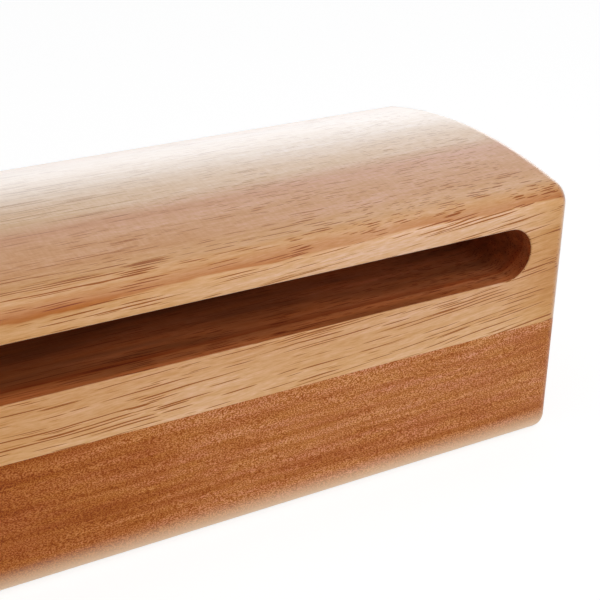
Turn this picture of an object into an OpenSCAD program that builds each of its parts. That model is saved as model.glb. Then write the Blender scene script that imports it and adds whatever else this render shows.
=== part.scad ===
// Drum-set woodblock: a paler sound block with a routed slot, glued on a darker base block,
// and a steel rod clamp on the back of the base block.
// X runs along the block, the slot opens towards -Y, and the base block stands on z = 0.

/* [Blocks] */
// Length of both blocks
block_l = 200; // [160:1:260]
// Depth of both blocks, from front to back
block_d = 68; // [60:0.5:90]
// Height from the table to the crown of the domed top
block_h = 63.9; // [60:0.1:80]
// Height of the darker base block, up to the glue line
base_h = 28.4; // [26:0.1:32]
// Rise of the dome from the shoulders to the crown
dome_rise = 4.6; // [3:0.1:7]
// Rounding of the two long top edges
top_round = 5.2; // [4.6:0.1:8]
// Rounding of the upright, bottom and end edges
edge_round = 3.5; // [1.5:0.1:4.4]

/* [Slot] */
// Height of the slot, which is also the diameter of its round ends
slot_h = 12; // [8:0.5:14]
// Depth of the slot from the front face
slot_d = 48; // [30:1:50]
// Wood left between each end of the slot and the end of the block
slot_end_wall = 10.4; // [6:0.1:30]
// Wood between the glue line and the slot
slot_floor_t = 12.1; // [8:0.1:13]

/* [Bracket] */
// Diameter of the holder rod that the clamp takes
rod_d = 9.5; // [8:0.1:10.5]
// Gap all round between the rod and the holes of the bracket and the eye
rod_gap = 0.25; // [0.1:0.05:0.4]
// Thickness of the steel strap
strap_t = 2; // [1.5:0.1:3]
// Width of the steel strap
strap_w = 20; // [18:0.5:22]
// Clear space between the strap's two side walls
strap_inner = 18; // [16:0.5:22]
// Length of each foot beyond its side wall
foot_l = 15; // [13:0.5:20]
// Radius on the inside of each bend in the strap
bend_r = 1.5; // [1:0.1:2]
// Radius of the corners of the feet
foot_corner_r = 3; // [1:0.5:5]
// Height of the clamp's middle above the table
clamp_z = 16; // [15:0.1:16.5]

/* [Eye bolt] */
// Diameter of the bolt's thread
bolt_d = 6; // [5:0.5:6.5]
// Width of the eye along the rod
eye_w = 8; // [7:0.5:9]
// Thickness of the ring of the eye
eye_ring = 4.45; // [3.5:0.05:5]
// Rounding of the outer edges of the eye
eye_round = 1.2; // [0.5:0.1:1.6]
// Gap between the eye and the back of the block
eye_back_gap = 1; // [0.8:0.1:2]
// How far the nut can draw the eye outwards
eye_draw = 3; // [1:0.5:4]
// Length of the collar between the eye and the thread
collar_l = 1.6; // [1:0.1:2]
// Step from the thread out to the collar
collar_step = 0.8; // [0.5:0.1:1]
// Length of thread that stands out beyond the nut
stem_out = 3; // [1:0.5:6]
// Chamfer on the tip of the thread
stem_chamfer = 0.7; // [0.3:0.1:1]

/* [Washers] */
// Diameter of the flat washer
washer_d = 12.5; // [11.5:0.5:14]
// Thickness of the flat washer
washer_t = 1.6; // [1:0.1:2]
// Outside diameter of the split lock washer
lock_d = 11; // [10.5:0.1:12]
// Thickness of the lock washer
lock_t = 1.5; // [1:0.1:2]
// Width of the split in the lock washer
lock_split = 1; // [0.5:0.1:2]
// Slant of the split in the lock washer, in degrees
lock_slant = 20; // [0:5:40]

/* [Wing nut] */
// Diameter of the hub at its foot
hub_d = 12; // [11.5:0.5:14]
// Diameter of the hub at its top
hub_top_d = 9.6; // [9:0.1:11]
// Height of the hub
hub_h = 8; // [7:0.5:10]
// Distance across the tips of the two wings
wing_span = 28; // [26:0.5:29]
// Distance from the foot of the nut to the top of the wings
wing_h = 15; // [14:0.5:18]
// Radius of the round lobe at the tip of each wing
wing_lobe_r = 4.2; // [3.5:0.1:4.6]
// Thickness of the wings
wing_t = 2.4; // [1.8:0.1:3]

/* [Screws] */
// Diameter of the wood screws
screw_d = 4; // [3.5:0.1:4.2]
// Length of the wood screws below the head
screw_l = 18; // [12:1:25]
// Length of the point of the wood screws
screw_point_l = 4; // [3:0.5:5]
// Diameter of the round screw heads
screw_head_d = 7.6; // [7:0.1:8.4]
// Height of the round screw heads
screw_head_h = 2.6; // [2:0.1:3]
// Distance between the two screws of a foot
screw_spacing = 9; // [8.6:0.1:9.4]
// Length across the cross recess for the driver
cross_l = 4; // [3:0.1:4.4]
// Width of the cross recess
cross_w = 1; // [0.8:0.1:1.2]
// Depth of the cross recess
cross_depth = 1.4; // [0.8:0.1:1.6]

/* [Fits] */
// Gap all round between the thread and what it slides or turns in
running_gap = 0.05; // [0.02:0.01:0.1]
// Gap between the nut and the lock washer while nothing is clamped
nut_gap = 0.2; // [0.1:0.05:0.3]
// Gap all round between a screw and its holes
screw_gap = 0.1; // [0.05:0.05:0.3]
// Gap all round between the thread and the washers
washer_gap = 0.2; // [0.1:0.05:0.3]

/* [Hidden] */
$fn = 96;

// One overrun for every cut that goes through a face
cut_over = 1;
quarter_turn = 90;
half_turn = 180;

// Steps along each rounded edge, around a long top edge, and over the crown
edge_steps = 6;
corner_steps = 8;
crown_steps = 14;

// The top is an arc over the depth of the block. A corner arc joins it to each side wall.
half_l = block_l / 2;
half_d = block_d / 2;
crown_r = (half_d * half_d + dome_rise * dome_rise) / (2 * dome_rise);
crown_z = block_h - crown_r;
corner_y = half_d - top_round;
corner_z = crown_z + sqrt(pow(crown_r - top_round, 2) - pow(corner_y, 2));
crown_angle = atan(corner_y / (corner_z - crown_z));

// The slot's round ends are the path of a cutter as thick as the slot is high
slot_r = slot_h / 2;
slot_z = base_h + slot_floor_t + slot_r;
slot_end_x = half_l - slot_end_wall - slot_r;

// The clamp stands on the back face, with the rod along X
back_y = half_d;
rod_hole_r = rod_d / 2 + rod_gap;
eye_r = rod_hole_r + eye_ring;
rod_y = back_y + eye_back_gap + eye_r;
collar_end_y = rod_y + eye_r + collar_l;
crown_in_y = collar_end_y + eye_draw + nut_gap;
bracket_h = crown_in_y + strap_t - back_y;
wall_x = strap_inner / 2;
foot_x = wall_x + strap_t + foot_l;
washer_y = crown_in_y + strap_t;
lock_y = washer_y + washer_t;
nut_y = lock_y + lock_t + nut_gap;
bolt_r = bolt_d / 2;
stem_end_y = nut_y + hub_h + stem_out;

// Two screws stand in the flat part of each foot
flat_foot_x = wall_x + strap_t + bend_r;
screw_x = (flat_foot_x + foot_x) / 2;
screw_r = screw_d / 2;
head_r = screw_head_d / 2;
head_arc_r = (head_r * head_r + screw_head_h * screw_head_h) / (2 * screw_head_h);

// A wing leaves the hub between these shares of the hub's height
wing_foot_share = 0.15;
wing_top_share = 0.9;
// The straight edges of a wing run into its lobe this share of the lobe's radius off its centre
wing_edge_share = 0.94;

// Points of an arc about [y, z], each a [y, z] pair
function arc(centre, radius, from_angle, to_angle, steps) = [
    for (i = [0:steps])
        let (a = from_angle + (to_angle - from_angle) * i / steps)
        centre + radius * [cos(a), sin(a)]
];

// Section of the sound block, drawn in from its real outline by inset, but not at the glue line
function loaf_outline(inset) = concat(
    [[half_d - inset, base_h]],
    arc([corner_y, corner_z], top_round - inset, 0, quarter_turn - crown_angle, corner_steps),
    [for (p = arc([0, crown_z], crown_r - inset, quarter_turn - crown_angle,
                  quarter_turn + crown_angle, crown_steps))
        if (abs(p.x) < (crown_r - inset) * sin(crown_angle * (crown_steps - 1) / crown_steps)) p],
    arc([-corner_y, corner_z], top_round - inset, quarter_turn + crown_angle, half_turn, corner_steps),
    [[inset - half_d, base_h]]
);

// Section of the base block, drawn in the same way
function base_outline(inset) = let (y = half_d - edge_round, r = edge_round - inset) concat(
    [[inset - half_d, base_h]],
    arc([-y, edge_round], r, half_turn, half_turn + quarter_turn, edge_steps),
    arc([y, edge_round], r, -quarter_turn, 0, edge_steps),
    [[half_d - inset, base_h]]
);

// Where the sections stand: [x, inset] pairs that round both ends by edge_round
end_stations = [
    for (i = [0:edge_steps])
        let (a = quarter_turn * i / edge_steps)
        [half_l - edge_round + edge_round * cos(a), edge_round * (1 - sin(a))]
];
stations = concat(
    [for (s = end_stations) s],
    [for (i = [edge_steps:-1:0]) [-end_stations[i].x, end_stations[i].y]]
);

// Closed skin through equal rings of points, the first ring at +X
module loft(rings) {
    ring_size = len(rings[0]);
    last = len(rings) - 1;
    sides = [
        for (k = [0:last - 1], i = [0:ring_size - 1])
            let (j = (i + 1) % ring_size, a = k * ring_size, b = a + ring_size)
            each [[a + i, a + j, b + j], [a + i, b + j, b + i]]
    ];
    ends = [
        [for (i = [ring_size - 1:-1:0]) i],
        [for (i = [0:ring_size - 1]) last * ring_size + i]
    ];
    polyhedron(points = [for (ring = rings) each ring], faces = concat(sides, ends), convexity = 4);
}

// A quarter of a disc, in the corner between +X and +Y
module quarter_disc(r) {
    intersection() {
        circle(r);
        square(r);
    }
}

// Rectangle in the middle of the plane with round corners
module rounded_plate(w, h, r) {
    square([w - 2 * r, h], center = true);
    square([w, h - 2 * r], center = true);
    for (side = [0, 1], end = [0, 1]) mirror([side, 0]) mirror([0, end])
        translate([w / 2 - r, h / 2 - r]) quarter_disc(r);
}

// Puts a shape drawn about Z on the clamp's middle line, with its Z pointing out of the back
module on_clamp(y) {
    translate([0, y, clamp_z]) rotate([-quarter_turn, 0, 0]) children();
}

// Cutter path of the slot, a long hole with round ends that runs out of the front face
module slot_cut() {
    translate([0, slot_d - half_d, slot_z]) rotate([quarter_turn, 0, 0])
        linear_extrude(slot_d + cut_over) {
            square([2 * slot_end_x, slot_h], center = true);
            for (side = [-1, 1]) translate([side * slot_end_x, 0]) circle(slot_r);
        }
}

// Upper block, domed over its depth, with the sound chamber routed in from the front
module resonator_block() {
    color([0.80, 0.60, 0.38]) difference() {
        loft([for (s = stations) [for (p = loaf_outline(s.y)) [s.x, p.x, p.y]]]);
        slot_cut();
    }
}

// Lower block, solid, with a pilot hole for each bracket screw
module base_block() {
    color([0.62, 0.37, 0.20]) difference() {
        loft([for (s = stations) [for (p = base_outline(s.y)) [s.x, p.x, p.y]]]);
        screw_pattern() screw_shank(screw_gap);
    }
}

// Right half of the strap's edge, seen along Z, with y counted from the back of the block
module half_hat() {
    translate([flat_foot_x, 0]) square([foot_x - flat_foot_x, strap_t]);
    translate([flat_foot_x, strap_t + bend_r]) rotate(half_turn) bend();
    translate([wall_x, strap_t + bend_r]) square([strap_t, bracket_h - 2 * (strap_t + bend_r)]);
    translate([wall_x - bend_r, bracket_h - strap_t - bend_r]) bend();
    translate([0, bracket_h - strap_t]) square([wall_x - bend_r, strap_t]);
}

// Quarter of a ring as thick as the strap
module bend() {
    difference() {
        quarter_disc(bend_r + strap_t);
        circle(bend_r);
    }
}

// Hat-shaped strap: two feet, two side walls with the rod's holes, and a crown for the eye bolt
module rod_bracket() {
    color("silver") difference() {
        intersection() {
            translate([0, back_y, clamp_z - strap_w / 2]) linear_extrude(strap_w) {
                half_hat();
                mirror([1, 0]) half_hat();
            }
            on_clamp(back_y - cut_over) linear_extrude(bracket_h + 2 * cut_over)
                rounded_plate(2 * foot_x, strap_w, foot_corner_r);
        }
        translate([-wall_x - strap_t - cut_over, rod_y, clamp_z]) rotate([0, quarter_turn, 0])
            cylinder(h = 2 * (wall_x + strap_t + cut_over), r = rod_hole_r);
        on_clamp(crown_in_y - cut_over) cylinder(h = strap_t + 2 * cut_over, r = bolt_r + running_gap);
        screw_pattern() cylinder(h = 2 * (strap_t + cut_over), r = screw_r + screw_gap, center = true);
    }
}

// Places its child at each screw, on the outside of the foot, with Z pointing out of the back
module screw_pattern() {
    for (side = [-1, 1], end = [-1, 1])
        translate([side * screw_x, back_y + strap_t, clamp_z + end * screw_spacing / 2])
            rotate([-quarter_turn, 0, 0]) children();
}

// Shank and point, below z = 0, with a gap all round for the hole it makes
module screw_shank(gap) {
    translate([0, 0, screw_point_l - screw_l]) cylinder(h = screw_l - screw_point_l, r = screw_r + gap);
    translate([0, 0, -screw_l - gap]) cylinder(h = screw_point_l + gap, r1 = 0, r2 = screw_r + gap);
}

module bracket_screws() {
    color("gainsboro") screw_pattern() {
        screw_shank(0);
        difference() {
            rotate_extrude() intersection() {
                translate([0, screw_head_h - head_arc_r]) circle(head_arc_r);
                square([head_arc_r, screw_head_h]);
            }
            for (a = [0, quarter_turn]) rotate(a)
                translate([-cross_l / 2, -cross_w / 2, screw_head_h - cross_depth])
                    cube([cross_l, cross_w, cross_depth + cut_over]);
        }
    }
}

// Eye round the rod, with a collar and a stem that leaves through the crown
module eye_bolt() {
    stem_l = stem_end_y - collar_end_y;
    color("silver") {
        translate([0, rod_y, clamp_z]) rotate([0, quarter_turn, 0]) rotate_extrude() {
            translate([rod_hole_r, -eye_w / 2]) square([eye_ring - eye_round, eye_w]);
            translate([eye_r - eye_round, eye_round - eye_w / 2])
                square([eye_round, eye_w - 2 * eye_round]);
            for (side = [0, 1]) mirror([0, side])
                translate([eye_r - eye_round, eye_w / 2 - eye_round]) quarter_disc(eye_round);
        }
        on_clamp(rod_y + eye_r - eye_ring / 2)
            cylinder(h = collar_l + eye_ring / 2, r = bolt_r + collar_step);
        on_clamp(collar_end_y) {
            cylinder(h = stem_l - stem_chamfer, r = bolt_r);
            translate([0, 0, stem_l - stem_chamfer])
                cylinder(h = stem_chamfer, r1 = bolt_r, r2 = bolt_r - stem_chamfer);
        }
    }
}

module flat_washer() {
    color("gainsboro") on_clamp(washer_y) difference() {
        cylinder(h = washer_t, r = washer_d / 2);
        translate([0, 0, -cut_over]) cylinder(h = washer_t + 2 * cut_over, r = bolt_r + washer_gap);
    }
}

// Spring washer, pressed flat, with its slanted split at the top
module lock_washer() {
    color("gainsboro") on_clamp(lock_y) difference() {
        cylinder(h = lock_t, r = lock_d / 2);
        translate([0, 0, -cut_over]) cylinder(h = lock_t + 2 * cut_over, r = bolt_r + washer_gap);
        translate([0, -lock_d / 2, lock_t / 2]) rotate([0, lock_slant, 0])
            cube([lock_split, lock_d, lock_d], center = true);
    }
}

// One wing, seen from the side: x runs out from the bolt's axis and y along it
module wing_outline() {
    lobe = [wing_span / 2 - wing_lobe_r, wing_h - wing_lobe_r];
    low = [hub_top_d / 2, hub_h * wing_foot_share];
    high = [hub_top_d / 2, hub_h * wing_top_share];
    reach = lobe - (low + high) / 2;
    edge = wing_edge_share * wing_lobe_r * [-reach.y, reach.x] / norm(reach);
    polygon([[bolt_r, low.y], low, lobe - edge, lobe + edge, high, [bolt_r, high.y]]);
    translate(lobe) circle(wing_lobe_r);
}

module wing_nut() {
    color("silver") on_clamp(nut_y) difference() {
        union() {
            cylinder(h = hub_h, r1 = hub_d / 2, r2 = hub_top_d / 2);
            for (side = [0, 1]) mirror([side, 0, 0]) rotate([quarter_turn, 0, 0])
                linear_extrude(wing_t, center = true) wing_outline();
        }
        translate([0, 0, -cut_over]) cylinder(h = hub_h + 2 * cut_over, r = bolt_r + running_gap);
    }
}

base_block();
resonator_block();
rod_bracket();
bracket_screws();
eye_bolt();
flat_washer();
lock_washer();
wing_nut();
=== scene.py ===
# Drum-set woodblock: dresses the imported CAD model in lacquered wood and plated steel.
# Metres, in the CAD's own frame: X along the block, the slot opens towards -Y, z = 0 is the table.
import math

import bmesh
import bpy
import numpy as np
from mathutils import Matrix, Vector


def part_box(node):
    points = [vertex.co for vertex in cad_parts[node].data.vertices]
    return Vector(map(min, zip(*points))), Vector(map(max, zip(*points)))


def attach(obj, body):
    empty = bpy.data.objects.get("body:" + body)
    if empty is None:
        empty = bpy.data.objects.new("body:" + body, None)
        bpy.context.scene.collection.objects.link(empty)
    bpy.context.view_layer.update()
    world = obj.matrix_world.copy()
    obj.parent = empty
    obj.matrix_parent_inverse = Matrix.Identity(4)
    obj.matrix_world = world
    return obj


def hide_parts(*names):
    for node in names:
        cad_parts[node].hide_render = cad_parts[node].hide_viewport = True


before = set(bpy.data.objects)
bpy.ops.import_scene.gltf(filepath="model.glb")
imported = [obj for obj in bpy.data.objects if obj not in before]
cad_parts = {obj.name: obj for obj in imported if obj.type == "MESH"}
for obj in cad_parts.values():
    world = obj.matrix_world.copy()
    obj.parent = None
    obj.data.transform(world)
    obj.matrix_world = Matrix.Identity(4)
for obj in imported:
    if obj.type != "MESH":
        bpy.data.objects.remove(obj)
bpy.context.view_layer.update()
mm = 0.001
print("frame loaded:", len(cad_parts), "nodes")


# small tools

mergeDistance = 1e-6  # metres: points closer than this are one
shortestEdge = 1e-7
nearZero = 1e-6  # least divisor

# node settings and sockets that come up often
times = {"operation": "MULTIPLY"}
plus = {"operation": "ADD"}
minus = {"operation": "SUBTRACT"}
larger = {"operation": "MAXIMUM"}
timesPlus = {"operation": "MULTIPLY_ADD"}
over = {"operation": "DIVIDE"}
smooth = {"interpolation_type": "SMOOTHSTEP"}
blend = {"data_type": "RGBA"}
colourA, colourB, blended = 6, 7, 2  # sockets of a Mix node: its two colours, and the one that it gives


def hexToLinear(code):
    # sRGB hex to linear RGBA
    parts = np.array([int(code[i:i + 2], 16) for i in (0, 2, 4)]) / 255
    linear = np.where(parts <= 0.04045, parts / 12.92, ((parts + 0.055) / 1.055) ** 2.4)
    return (*linear.tolist(), 1.0)


def addNode(tree, kind, settings, inputs, out=None):
    # one shader node: its settings by name, then its inputs, filled with values or linked from sockets;
    # gives the node, or the output that out names
    node = tree.nodes.new("ShaderNode" + kind)
    for name, value in settings.items():
        setattr(node, name, value)
    for key, value in inputs.items():
        if isinstance(value, bpy.types.NodeSocket):
            tree.links.new(value, node.inputs[key])
        else:
            node.inputs[key].default_value = value
    return node if out is None else node.outputs[out]


def across(value, span):
    # Map Range inputs from a span: (from, to, result at from, result at to), or (from, to) for 0 and 1
    return dict(zip(("Value", "From Min", "From Max", "To Min", "To Max"), (value, *span)))


def newMaterial(name):
    # an empty node material and its tree
    material = bpy.data.materials.new(name)
    material.use_nodes = True
    material.node_tree.nodes.clear()
    return material, material.node_tree


def meshPiece(name, points, faces, material, body, replaced, sharpAngle=40):
    # one piece from points in metres and lists of corners: doubles merged, faces outward, corner normals
    # weighted. Two materials come as a pair with the number of the first face that has the second.
    mesh = bpy.data.meshes.new(name)
    mesh.from_pydata(points.tolist(), [], faces)
    materials, secondFrom = material if isinstance(material, tuple) else ([material], len(faces))
    mesh.polygons.foreach_set("material_index", (np.arange(len(faces)) >= secondFrom).astype(np.int32))
    work = bmesh.new()
    work.from_mesh(mesh)
    bmesh.ops.remove_doubles(work, verts=work.verts, dist=mergeDistance)
    bmesh.ops.dissolve_degenerate(work, edges=work.edges, dist=shortestEdge)
    bmesh.ops.recalc_face_normals(work, faces=work.faces)
    work.to_mesh(mesh)
    work.free()
    mesh.shade_smooth()
    mesh.set_sharp_from_angle(angle=math.radians(sharpAngle))
    piece = bpy.data.objects.new(name, mesh)
    bpy.context.scene.collection.objects.link(piece)
    weighted = piece.modifiers.new("weighted", "WEIGHTED_NORMAL")
    weighted.keep_sharp = True
    for one in materials:
        mesh.materials.append(one)
    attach(piece, body)
    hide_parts(*replaced)
    return piece


def gridFaces(rows, columns, start=0, closed=False):
    # quads of a grid of points stored row by row; closed joins the last column to the first
    r = np.arange(rows - 1)[:, None]
    c = np.arange(columns if closed else columns - 1)[None, :]
    n = (c + 1) % columns
    corners = (r * columns + c, r * columns + n, (r + 1) * columns + n, (r + 1) * columns + c)
    return (np.stack(np.broadcast_arrays(*corners), -1).reshape(-1, 4) + start).tolist()


# camera, floor and light

view = {
    "eye": (-0.11762, -0.26330, 0.17234),
    "headingRight": 32.82,  # degrees from +Y towards +X
    "lookDown": 24.53,
    "roll": 1.81,
    "lens": 91.2,  # mm
    "sensor": 36,  # mm, width of the square frame
    "nearest": 0.01,  # metres
}

cameraData = bpy.data.cameras.new("camera")
cameraData.lens = view["lens"]
cameraData.sensor_width = view["sensor"]
cameraData.clip_start = view["nearest"]
camera = bpy.data.objects.new("camera", cameraData)
bpy.context.scene.collection.objects.link(camera)
camera.matrix_world = (
    Matrix.Translation(view["eye"])
    @ Matrix.Rotation(math.radians(-view["headingRight"]), 4, "Z")
    @ Matrix.Rotation(math.radians(90 - view["lookDown"]), 4, "X")
    @ Matrix.Rotation(math.radians(view["roll"]), 4, "Z")
)
bpy.context.scene.camera = camera

studio = {
    "ambient": 0.20,  # level of the world's diffuse light
    "backdrop": "ffffff",
    "paper": "f4f4f4",
    "floorGlow": 0.80,  # share of the floor's white that isn't shaded
    "floorShade": 0.30,
    "floorSize": 6.0,
    # name: (place, aims at, width, height, watts, colour)
    "lamps": {
        "topBox": ((-0.05, -0.16, 1.0), (0.0, 0.0, 0.04), 1.5, 1.0, 5.2, "ffffff"),
        "frontBox": ((0.32, -1.05, 0.60), (0.0, 0.0, 0.04), 1.4, 0.8, 6.0, "ffffff"),
        "backBox": ((0.75, 1.15, 0.26), (0.0, 0.0, 0.06), 1.7, 0.5, 5.1, "f6f9ff"),
    },
}


def seenDirectly(tree):
    # 1 for camera, glossy and transmission rays, so that metal shows the white backdrop too; otherwise 0
    rays = addNode(tree, "LightPath", {}, {})
    seen = rays.outputs["Is Camera Ray"]
    for kind in ("Is Glossy Ray", "Is Transmission Ray"):
        seen = addNode(tree, "Math", larger, {0: seen, 1: rays.outputs[kind]}, 0)
    return seen


scene = bpy.context.scene
scene.view_settings.view_transform = "Standard"
world = bpy.data.worlds.new("studio")
scene.world = world
world.use_nodes = True
tree = world.node_tree
tree.nodes.clear()
white = hexToLinear(studio["backdrop"])
level = addNode(tree, "MapRange", {}, across(seenDirectly(tree), (0, 1, studio["ambient"], 1)), 0)
sky = addNode(tree, "Background", {}, {"Color": white, "Strength": level}, 0)
addNode(tree, "OutputWorld", {}, {"Surface": sky})

# white paper floor: where the camera or a reflection sees it, it glows and is shaded a little by the object
floorMaterial, tree = newMaterial("white paper floor")
glow = addNode(tree, "Emission", {}, {"Color": white, "Strength": studio["floorGlow"]}, 0)
shade = addNode(tree, "BsdfDiffuse", {}, {"Color": (*[studio["floorShade"]] * 3, 1)}, 0)
both = addNode(tree, "AddShader", {}, {0: glow, 1: shade}, 0)
paper = addNode(tree, "BsdfDiffuse", {}, {"Color": hexToLinear(studio["paper"])}, 0)
pick = addNode(tree, "MixShader", {}, {0: seenDirectly(tree), 1: paper, 2: both}, 0)
addNode(tree, "OutputMaterial", {}, {"Surface": pick})

half = studio["floorSize"] / 2
floorMesh = bpy.data.meshes.new("floor")
floorCorners = [(-half, -half, 0), (half, -half, 0), (half, half, 0), (-half, half, 0)]
floorMesh.from_pydata(floorCorners, [], [(0, 1, 2, 3)])
floorMesh.materials.append(floorMaterial)
floor = bpy.data.objects.new("floor", floorMesh)
scene.collection.objects.link(floor)

for name, (place, aim, width, height, watts, colour) in studio["lamps"].items():
    lamp = bpy.data.lights.new(name, "AREA")
    lamp.shape = "RECTANGLE"
    lamp.size, lamp.size_y, lamp.energy = width, height, watts
    lamp.color = hexToLinear(colour)[:3]
    holder = bpy.data.objects.new(name, lamp)
    holder.location = place
    holder.rotation_euler = (Vector(aim) - Vector(place)).to_track_quat("-Z", "Y").to_euler()
    holder.visible_camera = False
    scene.collection.objects.link(holder)
print("camera, floor and light set")


# materials

noiseReach = (0.32, 0.68)  # nearly all of the noise lies between these


def pointInMm(tree):
    # the object's own coordinates, in millimetres
    place = addNode(tree, "TexCoord", {}, {}, "Object")
    return addNode(tree, "VectorMath", {"operation": "SCALE"}, {0: place, "Scale": 1 / mm}, 0)


def noiseAt(tree, point, size, detail, out=0):
    # noise whose blobs are size mm long, deep and high
    scaled = addNode(tree, "VectorMath", over, {0: point, 1: size}, 0)
    return addNode(tree, "TexNoise", {}, {"Vector": scaled, "Scale": 1.0, "Detail": detail}, out)


def streaks(tree, point, size, detail, low, high):
    # the same noise, spread from low to high
    spread = across(noiseAt(tree, point, size, detail), (*noiseReach, low, high))
    return addNode(tree, "MapRange", {}, spread, 0)


def wandering(tree, point, size, detail, swing):
    # the point moved by slow noise, by up to half of swing either way, so that the grain isn't straight
    shift = noiseAt(tree, point, size, detail, "Color")
    shift = addNode(tree, "VectorMath", timesPlus, {0: shift, 1: swing, 2: [-s / 2 for s in swing]}, 0)
    return addNode(tree, "VectorMath", plus, {0: point, 1: shift}, 0)


def raisedWithin(tree, rise, value, edges):
    # 1 plus the rise, which fades out smoothly over both edges of a stretch
    for edge in edges:
        inside = addNode(tree, "MapRange", smooth, across(value, edge), 0)
        rise = addNode(tree, "Math", times, {0: rise, 1: inside}, 0)
    return addNode(tree, "Math", plus, {0: rise, 1: 1.0}, 0)


def toneOf(tree, shade, falls):
    # red, green and blue factors of a shade: it is raised to one power for each, so wood darkens to red brown
    powers = [addNode(tree, "Math", {"operation": "POWER"}, {0: shade, 1: fall}, 0) for fall in falls]
    return addNode(tree, "CombineXYZ", {}, dict(enumerate(powers)), 0)


# Lengths are in mm, spans are as in across(), and streaks are (size, detail, lowest, highest).
# A shade of 1 is the plain wood.
palePlank = {
    "pale": "e8b784",  # at the glue line
    "tan": "daa36f",  # under the slot
    "straw": "e2ae7a",  # between the slot and the top, and on the back
    "honey": "dba97c",  # the first of the top
    "salmon": "d6a178",  # the middle of the top
    "rose": "d19770",  # a darker band in it
    "sand": "d8b086",  # behind the middle
    "paintedSheenCream": "ccaa84",  # the back of the top: wood tone, greyed as painted sheen so that its fade to white reads neutral
    "amber": "d8a654",  # multiplies the wood along the late-wood line of the top front edge
    "slotShadeTint": "dca884",  # painted shade: darkens the unlacquered wood inside the slot to red brown
    "slotEndShadeTint": "c4845c",  # and darker at its two round ends: their end grain, with more painted shade
    "falls": (0.62, 1.2, 2.8),  # how fast red, green and blue fall as the wood darkens

    "wander": ((60, 14, 14), 2.0, (0, 1.4, 2.4)),  # of the grain: size, detail and swing
    "slope": 0.025,  # rise of the grain along the block
    "bow": 0.00036,  # and how much steeper it gets, per mm

    "ringLean": 0.25,  # how far the growth rings lean, in mm of depth per mm of height
    "ringSwing": -0.0035,  # and per mm along the block
    "ringStart": (-33.8, 57.2),  # the depth and height where the amber line runs
    "ringWave": ((26, 9, 9), 3.0, 0.4),  # size, detail and height of the rings' waves
    # depth behind the amber line, and the colour there
    "rings": ((-8, "pale"), (-4.6, "tan"), (-1.5, "straw"), (-0.5, "straw"), (0.6, "honey"), (6, "honey"),
              (10, "salmon"), (17, "salmon"), (22, "rose"), (28, "sand"), (31, "sand"), (42, "paintedSheenCream"),
              (57, "paintedSheenCream"), (64, "straw"), (68, "straw")),
    "lastRing": 70.0,

    # the amber line: crisp below, soft above, weaker towards +X and on the ends, and it comes and goes
    "amberFoot": (-0.1, 0.15),
    "amberTop": (2.4, 0.4),
    "amberAlong": (-20, 60, 1.0, 0.72),
    "amberOnEnd": 0.25,
    "amberPatches": ((18, 4, 4), 1.0, 0.65, 1.0),

    # vessels: length, spacing and greatest half width; the real ones are finer, and drawn this coarse to show
    "vessels": ((42, 0.46, 0.165), (95, 0.56, 0.185), (18, 0.4, 0.14)),
    "thinnestShare": 0.25,  # of that half width
    "vesselEdge": (-0.01, 0.06),
    "bendSize": (10, 5, 5),  # the vessels waver over these lengths
    "bend": (0, 0.25, 0.3),  # and this far
    "crowd": ((32, 3, 3), 1.0, 0.78, 1.1),  # loose rows of wider ones
    "sparse": (4, 12, 1.0, 0.85),  # over the rings: finer on the top
    "vesselDepth": (3, 12, 0.72, 0.576),  # over the rings: how dark they are, and paler on the top

    "streaks": (((2.4, 0.26, 0.26), 1.0, 0.9, 1.07), ((22, 0.9, 0.9), 3.0, 0.92, 1.05),
                ((60, 2.2, 2.2), 1.0, 0.95, 1.05), ((80, 5, 5), 1.0, 0.95, 1.04)),
    "rays": ((0.55, 2.6, 1.2), 1.0, -0.05, 0.05),  # faint ticks across the grain
    "rayEdges": ((5, 12, 0.15, 1), (60, 50, 0.15, 1)),  # over the rings: fainter on the front and the back
    "along": (-36, 50, 0.88, 1.05),  # the plank is richer in colour towards -X
    "endReach": (82, 99.9),  # and its ends drink more lacquer
    "endShade": (-1, 5, 0.74, 0.94),  # over the rings: most at the front
    "endFace": (98.6, 99.9),  # where the end grain begins
    "paintedHighlight": (-25, 50, 0, 0.14),  # painted highlight along the top front rounding: under the amber line, stronger towards +X
    "paintedHighlightEdges": ((-3.0, -1.2), (0.1, -0.3)),
    "palePatch": (-4.5, -7, 0, 0.12),  # over the rings: just above the glue line
    "palePatchEdges": ((-38, -20), (30, 5)),  # along the block
    "heart": (0, 60, -90),  # of the tree, below and behind the block
    "growth": ((2.2, 1, 1), 2.0, -0.16, 0.1),  # rings on the end grain

    "cutEnd": (83, 89),  # where the slot's round ends cut across the grain
    "stain": ((45, 3.5, 2.0), 2.0, 0.62, 1.12),  # of the bare wood
    "film": (1.6, 2.0),  # waves per mm and detail of the lacquer's faint texture
    "bump": (0.25, 0.03),  # strength, and the depth of an open vessel in mm
    "roughness": (0, 1, 0.32, 0.55),  # of the lacquer, and in the vessels
    # the satin film is a coat of low index: it veils the wood a little from the front, and most when grazed
    "lacquer": {"Specular IOR Level": 0.15, "Coat Weight": 1.0, "Coat Roughness": 0.3, "Coat IOR": 1.22,
                "Sheen Weight": 1.0, "Sheen Roughness": 0.32},
    "unlacquered": {"Roughness": 0.7, "Specular IOR Level": 0.3},
    "woodIndex": 1.5,
}


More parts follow.
